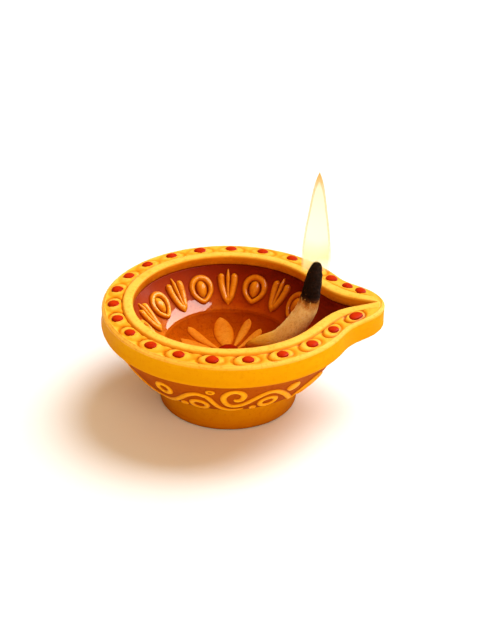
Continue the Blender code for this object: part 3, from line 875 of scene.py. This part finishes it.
def make_petals():
    shell = Shell()
    share = np.linspace(0, 1, 40)
    for azimuth, root, tip, half_width in PETALS:
        angle = math.radians(azimuth)
        outward = np.array([math.cos(angle), math.sin(angle)])
        sideways = np.array([-math.sin(angle), math.cos(angle)])
        bend = rng.uniform(-0.35, 0.35) * np.sin(math.pi * share)
        path = (root + (tip - root) * share)[:, None] * outward + bend[:, None] * sideways
        leaf = np.interp(share, *(BROAD_LEAF if half_width > BROAD_FROM else CLUB_LEAF))
        ribbon(shell, path, half_width * leaf, PETAL_HEIGHT, on_floor, sides=16, sink=-0.02)
    return shell.build("flower_petals", petal_paint)


def make_flower_centre():
    shell = Shell()
    radius = (flower_high[0] - flower_low[0]) / 2
    turn = circle(64)
    rings, tones = [], []
    for share in np.linspace(0, 1, 14):
        spread = math.cos(share * math.pi / 2 * 0.985)
        z = FLOOR_Z + 0.15 + (flower_high[2] - FLOOR_Z - 0.1) * math.sin(share * math.pi / 2)
        ring = polar(radius * spread * (1 + 0.03 * np.cos(9 * turn + 0.7)), z, turn)
        ring[:, 2] += 0.1 * relief(ring[:, 0], ring[:, 1], ring[:, 2], 1.6, 4.0) * spread
        rings.append(ring)
        # Painted shading: the dome is darker at its base and lighter on its top.
        tones.append(0.1 + 0.6 * share)
    shell.skin(rings, tones)
    return shell.build("flower_dome", red_paint)


# ---- slip frieze round the body
FRIEZE_START = -128.0
FRIEZE_TURN = 120.0
FRIEZE_RADIUS = 30.0
FRIEZE_STEP = 0.45
# Brush strokes as (azimuth in degrees from the unit's start, height)
WAVE = [(-24.5, 19.6), (-19.2, 16.2), (-14.1, 13.8), (-8.0, 12.5), (-1.8, 12.2), (6.0, 13.6), (12.0, 16.2),
        (17.1, 19.0), (20.8, 20.5), (23.8, 21.0), (27.4, 20.3), (29.6, 18.9), (32.0, 16.0), (34.8, 13.7),
        (39.5, 12.2), (44.0, 12.2), (48.5, 12.9)]
SCROLL = [(42.2, 19.2), (43.8, 18.5), (46.0, 19.0), (47.1, 21.0), (45.4, 22.8), (42.2, 23.4), (38.9, 22.4),
          (36.8, 19.8), (37.9, 16.9), (40.3, 15.4), (43.2, 15.1), (47.4, 15.9), (50.8, 17.5), (54.0, 19.3),
          (57.0, 20.7), (60.0, 21.4), (63.5, 21.2), (67.0, 19.8), (71.0, 17.6), (75.5, 14.8), (80.0, 12.4)]
LINK = [(79.5, 11.2), (80.6, 14.2), (83.0, 17.0), (87.0, 19.2), (91.5, 20.8), (95.5, 19.6)]
LOOP = [(84.0, 13.0), (90.0, 15.2), (93.5, 17.6), (92.6, 18.8), (88.6, 17.4), (85.2, 15.2)]
DROP = [(71.8, 19.3), (73.6, 21.0), (76.0, 22.6)]
STROKES = [(WAVE, 0.86, (0.02, 0.16)), (SCROLL, 0.92, (0.03, 0.05)), (LINK, 0.6, (0.06, 0.2)),
           (LOOP, 0.4, (0.15, 0.2)), (DROP, 2.1, (0.45, 0.5))]  # points, half width, tapered ends
OVALS = [  # azimuth, height, half length, half height, tilt, half thickness: four rings and four dots
    (4.6, 19.5, 1.95, 2.28, -0.45, 0.86), (23.0, 14.8, 2.34, 2.22, -0.12, 0.86),
    (61.3, 15.9, 2.34, 2.22, 0.3, 0.86), (100.0, 14.6, 2.34, 2.16, 0.2, 0.86),
    (30.6, 22.8, 0.9, 0.7125, 0.0, 0.36), (13.6, 14.0, 0.9375, 0.7125, 0.0, 0.36),
    (53.4, 13.6, 0.825, 0.665, 0.0, 0.36), (90.5, 12.4, 0.825, 0.665, 0.0, 0.36),
]


def on_body(across, z, height):
    """Maps (distance round the body, z, height) to the outside wall, spout keel and all."""
    angles = across / FRIEZE_RADIUS
    widening = profile_radius(z + 0.4) - profile_radius(z - 0.4)
    length = np.hypot(0.8, widening)
    reach = body_radius(angles, profile_radius(z)) + height * 0.8 / length
    return polar(reach, z - height * widening / length, angles)


def make_frieze():
    shell = Shell()

    def stroke(points, half_width, ends, offset):
        flat = [(math.radians(azimuth + offset) * FRIEZE_RADIUS, z) for azimuth, z in points]
        length = sum(math.dist(p, q) for p, q in zip(flat, flat[1:]))
        count = max(int(length / FRIEZE_STEP), 16)
        widths = half_width * taper(count, *ends)
        heights = 0.5 * np.sqrt(widths / widths.max())
        ribbon(shell, smooth_path(flat, count), widths, heights, on_body, sides=12, sink=-0.02)

    def oval(azimuth, z, half_length, half_height, tilt, thick):
        turn = circle(40)
        x, y = half_length * np.cos(turn), half_height * np.sin(turn)
        across = math.radians(azimuth) * FRIEZE_RADIUS + x * math.cos(tilt) - y * math.sin(tilt)
        path = np.stack([across, z + x * math.sin(tilt) + y * math.cos(tilt)], axis=1)
        ribbon(shell, path, thick, 0.48, on_body, sides=12, sink=-0.02, closed=True)

    for unit in range(3):
        offset = FRIEZE_START + FRIEZE_TURN * unit
        for points, half_width, ends in STROKES:
            stroke(points, half_width, ends, offset)
        for azimuth, *shape in OVALS:
            oval(azimuth + offset, *shape)
    return shell.build("slip_frieze", slip_paint)


# ---- oil, wick and flame
def make_oil():
    """The pool: a flat top with a raised edge where it wets the wall, and a curved underside."""
    shell = Shell()
    turn = circle(160)
    wall = float(inside_radius_at(OIL_LEVEL + 0.35)) - 0.12
    under = [(0.6, -1.3), (wall - 6.0, -1.3), (wall - 1.6, -0.9), (wall - 0.5, -0.3)]
    above = [(wall, 0.0), (wall - 0.25, -0.05), (wall - 0.8, -0.2), (wall - 1.6, -0.28)]
    above += [(radius, -0.3) for radius in np.linspace(wall - 3.0, 0.6, 12)]
    slots = [0] * (len(under) - 1) + [1] * len(above)
    shell.skin([polar(radius, OIL_LEVEL + rise, turn) for radius, rise in under + above], slots=slots)
    underside = make_oil_material("oil_underside", False)
    return shell.build("oil_pool", underside, make_oil_material("oil_surface", True))


# The wick's middle line as (x, z), and its half thickness along it
WICK_LINE = [(5.6, 17.5), (10.7, 19.0), (16.4, 21.0), (20.1, 24.6), (23.0, 28.6), (24.6, 31.8), (25.35, 34.6),
             (25.6, 36.3)]
WICK_SPREAD = [1.5, 2.4, 2.9, 3.2, 3.4, 3.45, 3.35, 3.1]
CHAR_TIP_X = 27.35
CHAR_SPREAD = ([0, 0.1, 0.4, 0.7, 0.88, 0.95, 0.985, 1], [3.0, 2.95, 2.75, 2.3, 1.7, 1.3, 0.85, 0.12])
LOOSE_FIBRES = 150


def wick_tube(shell, line, radii, strands, twist, lump, seed, sides):
    """A round tube in the lamp's middle plane, with strands twisted round it; its tone runs up it."""
    count = len(line)
    tangent = np.gradient(line, axis=0)
    tangent /= np.linalg.norm(tangent, axis=1, keepdims=True)
    turn = circle(sides)
    rings, tones = [], []
    for k, ((x, z), (tx, tz)) in enumerate(zip(line, tangent)):
        ridges = np.abs(np.sin((strands * turn + twist * k / count) / 2)) ** 0.7
        fine = np.sin(strands * 5 * turn + 4.1 * twist * k / count)
        around = (3 * np.cos(turn) + x, 3 * np.sin(turn), np.full(sides, z))
        lumps = relief(*around, 1.5, seed)
        grain = relief(*around, 0.55, seed + 5)
        radius = radii[k] * (0.965 + 0.05 * ridges + 0.008 * fine) + lump * (0.7 * lumps + 0.5 * grain)
        side, front = radius * np.cos(turn), radius * np.sin(turn)
        rings.append(np.stack([x - tz * side, front, z + tx * side], axis=1))
        tones.append(np.clip(k / (count - 1) + 0.02 * lumps, 0, 1))
    shell.skin(rings, tones, flip=True)


def fibre(shell, centre, radius, tone):
    """A thin loose fibre along the points."""
    turn = circle(5)
    rings = []
    for (x, y, z), width in zip(centre, radius * taper(len(centre), 0.2, 0.3)):
        rings.append(np.stack([x + width * np.cos(turn), y + width * np.sin(turn), np.full(5, z)], axis=1))
    shell.skin(rings, [tone] * len(centre))


def make_wick():
    shell = Shell()
    line = smooth_path(WICK_LINE, 110)
    share = np.linspace(0, 1, len(line))
    radii = np.interp(share, np.linspace(0, 1, len(WICK_SPREAD)), WICK_SPREAD)
    radii *= np.interp(share, [0, 0.03, 0.1], [0.55, 0.85, 1.0])
    wick_tube(shell, line, radii, 5, 9.0, 0.1, 1.0, sides=96)
    steps = 7
    for _ in range(LOOSE_FIBRES):
        start = rng.uniform(0.18, 0.93)
        length = rng.uniform(0.05, 0.14)
        around = rng.uniform(0, 2 * math.pi)
        lift = rng.uniform(0.02, 0.28)
        at = np.linspace(start, min(start + length, 0.995), steps)
        x = np.interp(at, share, line[:, 0])
        z = np.interp(at, share, line[:, 1])
        reach = np.interp(at, share, radii) + lift * np.linspace(0, 1, steps)
        turn = around + np.linspace(0, rng.uniform(-0.5, 0.5), steps)
        side = reach * np.cos(turn)
        centre = np.stack([x - 0.85 * side, reach * np.sin(turn), z + 0.5 * side], axis=1)
        fibre(shell, centre, 0.06, rng.uniform(0.5, 0.9))
    return shell.build("cotton_strand", make_cotton())


def make_char_tip():
    shell = Shell()
    share = np.linspace(0, 1, 60)
    wick_x, wick_z = WICK_LINE[-1]
    base = np.array([wick_x, wick_z - 0.5])
    top = np.array([CHAR_TIP_X, CHAR_TOP - 0.1])
    line = base + (top - base) * share[:, None]
    radii = np.interp(share, *CHAR_SPREAD)
    wick_tube(shell, line, radii, 4, 2.5, 0.2, 9.0, sides=72)
    return shell.build("charred_tip", make_soot())


# The flame's outline as (height, radius), and how deep it is from front to back
FLAME_SHAPE = [(78.8, 0.02), (78.0, 0.35), (76.9, 0.75), (74.5, 1.45), (70.7, 2.15), (66.7, 2.75),
               (60.8, 3.65), (55.0, 4.3), (50.5, 4.6), (47.5, 4.5), (45.4, 4.25)]
FLAME_DEPTH = 0.86


def make_flame_veil(name, scale, top_drop, bottom_rise, mat):
    """One closed teardrop of the flame, flattened in front of the char so that it stays behind it."""
    shell = Shell()
    axis = (flame_low[0] + flame_high[0]) / 2
    bottom, top = flame_low[2] + bottom_rise, flame_high[2] - top_drop
    turn = circle(72)
    height, radius = smooth_path(FLAME_SHAPE, 70)[::-1].T
    height = bottom + (top - bottom) * (height - height[0]) / (height[-1] - height[0])
    height[0] += 0.12
    rings = [polar(0.3, bottom + 0.15, turn), polar(radius[0] * scale * 0.8, bottom, turn)]
    rings += [polar(r * scale, z, turn) for z, r in zip(height, radius)]
    for ring in rings:
        ring[:, 0] += axis
        front = FLAME_DEPTH * float(smooth_step((ring[0, 2] - CHAR_TOP + 0.5) / 5.0))
        ring[:, 1] *= np.where(ring[:, 1] < 0, max(front, 0.04), FLAME_DEPTH)
    shell.skin(rings)
    return shell.build(name, mat)


def make_flame():
    """Three veils, from the outside in: a gold edge, a warm body and a pale core."""
    gold = [(0.0, 255, 222, 160), (0.3, 252, 206, 98), (0.8, 249, 194, 74), (1.0, 245, 178, 60)]
    warm = [(0.0, 255, 222, 156), (0.35, 255, 238, 186), (1.0, 255, 234, 170)]
    cream = [(0.0, 255, 212, 150), (0.2, 248, 214, 144), (0.42, 255, 252, 238), (1.0, 255, 252, 232)]
    thin = [(0.0, 0.0), (0.08, 0.12), (0.3, 0.3), (0.6, 0.36), (0.9, 0.45), (1.0, 0.7)]
    thicker = [(0.0, 0.0), (0.1, 0.1), (0.35, 0.3), (0.7, 0.25)]
    dense = [(0.0, 0.0), (0.08, 0.15), (0.3, 0.8), (0.5, 0.95)]
    edge = make_flame_material("flame_edge", gold, thin, 1.0)
    body = make_flame_material("flame_body", warm, thicker, 1.2)
    core = make_flame_material("flame_core", cream, dense, 1.7)
    return [
        make_flame_veil("flame_outer", 1.0, 0.0, 0.1, edge),
        make_flame_veil("flame_middle", 0.94, 1.4, 0.5, body),
        make_flame_veil("flame_inner", 0.85, 3.0, 1.0, core),
    ]


# ---- put the pieces on their bodies
def fit(obj, body, slot_name, *nodes):
    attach(obj, body)
    if nodes:
        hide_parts(*nodes)


fit(make_bowl(), "lamp", "clay_brown", "bowl")
fit(make_collar(), "lamp", "paint_yellow", "rim_collar")
fit(make_foot(), "lamp", "foot_paint", "foot")
for number, (azimuth, radius, slant) in enumerate(BEADS, start=1):
    fit(make_bead(number, azimuth, radius, slant), "lamp", "bead_red", f"rim_bead_{number:02d}")
for number in range(1, SPRIG_COUNT + 1):
    fit(make_ring_sprig(number), "lamp", "sprig_gold", f"sprig_ring_{number}")
    fit(make_tulip_sprig(number), "lamp", "sprig_gold", f"sprig_tulip_{number}")
fit(make_petals(), "lamp", "petal_orange", "floor_petals")
fit(make_flower_centre(), "lamp", "bead_red", "flower_centre")
fit(make_frieze(), "lamp", "paint_yellow", "frieze_vine")
fit(make_oil(), "lamp", "oil_amber", "lamp_oil")
fit(make_wick(), "wick", "cotton", "cotton_wick")
fit(make_char_tip(), "wick", "char_black", "wick_char_tip")
outer_veil, *inner_veils = make_flame()
fit(outer_veil, "wick", "flame_glow", "flame")
for veil in inner_veils:
    fit(veil, "wick", "flame_glow")


# ---- floor, light and camera, in metres
FLOOR_HALF = 3.0
FLOOR_DROP = 0.0001
WORLD_STRENGTH = 0.56
WORLD_COLOUR = (1.0, 0.66, 0.36, 1.0)
MIRRORED_COLOUR = (0.30, 0.14, 0.05, 1.0)  # what glossy surfaces see
PANEL_LENGTH, PANEL_WIDTH = 1.9, 0.5
PANEL_POWER = 27.0
CAMERA_TARGET = Vector((0.0, 0.0, 0.016))
CAMERA_DISTANCE = 0.45
CAMERA_AZIMUTH, CAMERA_ELEVATION, CAMERA_ROLL = -88.8, 30.75, 0.48
CAMERA_LENS, CAMERA_SENSOR = 80.3, 36.0
CAMERA_SHIFT = (0.0344, 0.0608)


def towards(azimuth, elevation):
    """The unit vector at an azimuth and an elevation in degrees."""
    a, e = math.radians(azimuth), math.radians(elevation)
    return Vector((math.cos(a) * math.cos(e), math.sin(a) * math.cos(e), math.sin(e)))


def make_floor():
    mat, tree, place = new_material("studio_floor")
    colour = ramp(tree, cloud(tree, place, 14.0, 3.0), (0.3, 0.90), (0.7, 0.92))
    principled(tree, colour, 0.8, 0.1)
    corners = [(x * FLOOR_HALF, y * FLOOR_HALF, -FLOOR_DROP) for x, y in ((-1, -1), (1, -1), (1, 1), (-1, 1))]
    mesh = bpy.data.meshes.new("floor")
    mesh.from_pydata(corners, [], [(0, 1, 2, 3)])
    mesh.materials.append(mat)
    new_object("floor", mesh)


def add_sun(name, azimuth, elevation, strength, colour, spread):
    """A soft sun for the matt shading; the panel makes the reflections."""
    data = bpy.data.lights.new(name, "SUN")
    data.energy = strength
    data.color = colour
    data.angle = math.radians(spread)
    light = new_object(name, data)
    light.rotation_euler = towards(azimuth, elevation).to_track_quat("Z", "Y").to_euler()
    light.visible_glossy = False


def add_panel():
    """A long softbox over the lamp's right side, seen only in glossy paint, glaze and oil."""
    data = bpy.data.lights.new("panel", "AREA")
    data.shape = "RECTANGLE"
    data.size = PANEL_LENGTH
    data.size_y = PANEL_WIDTH
    data.energy = PANEL_POWER
    data.color = (1.0, 0.93, 0.88)
    light = new_object("panel", data)
    facing = Vector((0.745, 0.21, 0.62)).normalized()
    length = Vector((-0.24, -0.84, 0.49))
    length = (length - length.dot(facing) * facing).normalized()
    axes = Matrix((length, facing.cross(length), facing)).transposed().to_4x4()
    light.matrix_world = Matrix.Translation(facing) @ axes
    light.visible_diffuse = False
    light.visible_camera = False


def light_scene():
    world = bpy.data.worlds.new("studio")
    bpy.context.scene.world = world
    world.use_nodes = True
    tree = world.node_tree
    mirrored = add(tree, "LightPath").outputs["Is Glossy Ray"]
    background = tree.nodes["Background"]
    background.inputs["Strength"].default_value = WORLD_STRENGTH
    tree.links.new(blend(tree, mirrored, WORLD_COLOUR, MIRRORED_COLOUR), background.inputs["Color"])
    add_sun("key", 38.0, 56.0, 3.8, (0.87, 0.94, 1.0), 44.0)
    add_sun("front_fill", -68.0, 30.0, 1.2, (1.0, 0.84, 0.60), 40.0)
    add_panel()


def aim_camera():
    back = towards(CAMERA_AZIMUTH, CAMERA_ELEVATION)
    data = bpy.data.cameras.new("camera")
    data.lens = CAMERA_LENS
    data.sensor_width = CAMERA_SENSOR
    data.shift_x, data.shift_y = CAMERA_SHIFT
    data.clip_end = 20.0
    camera = new_object("camera", data)
    camera.location = CAMERA_TARGET + back * CAMERA_DISTANCE
    turn = back.to_track_quat("Z", "Y").to_matrix().to_4x4()
    camera.rotation_euler = (turn @ Matrix.Rotation(math.radians(CAMERA_ROLL), 4, "Z")).to_euler()
    bpy.context.scene.camera = camera


make_floor()
light_scene()
aim_camera()
bpy.context.scene.view_settings.view_transform = "Standard"

bpy.context.view_layer.update()
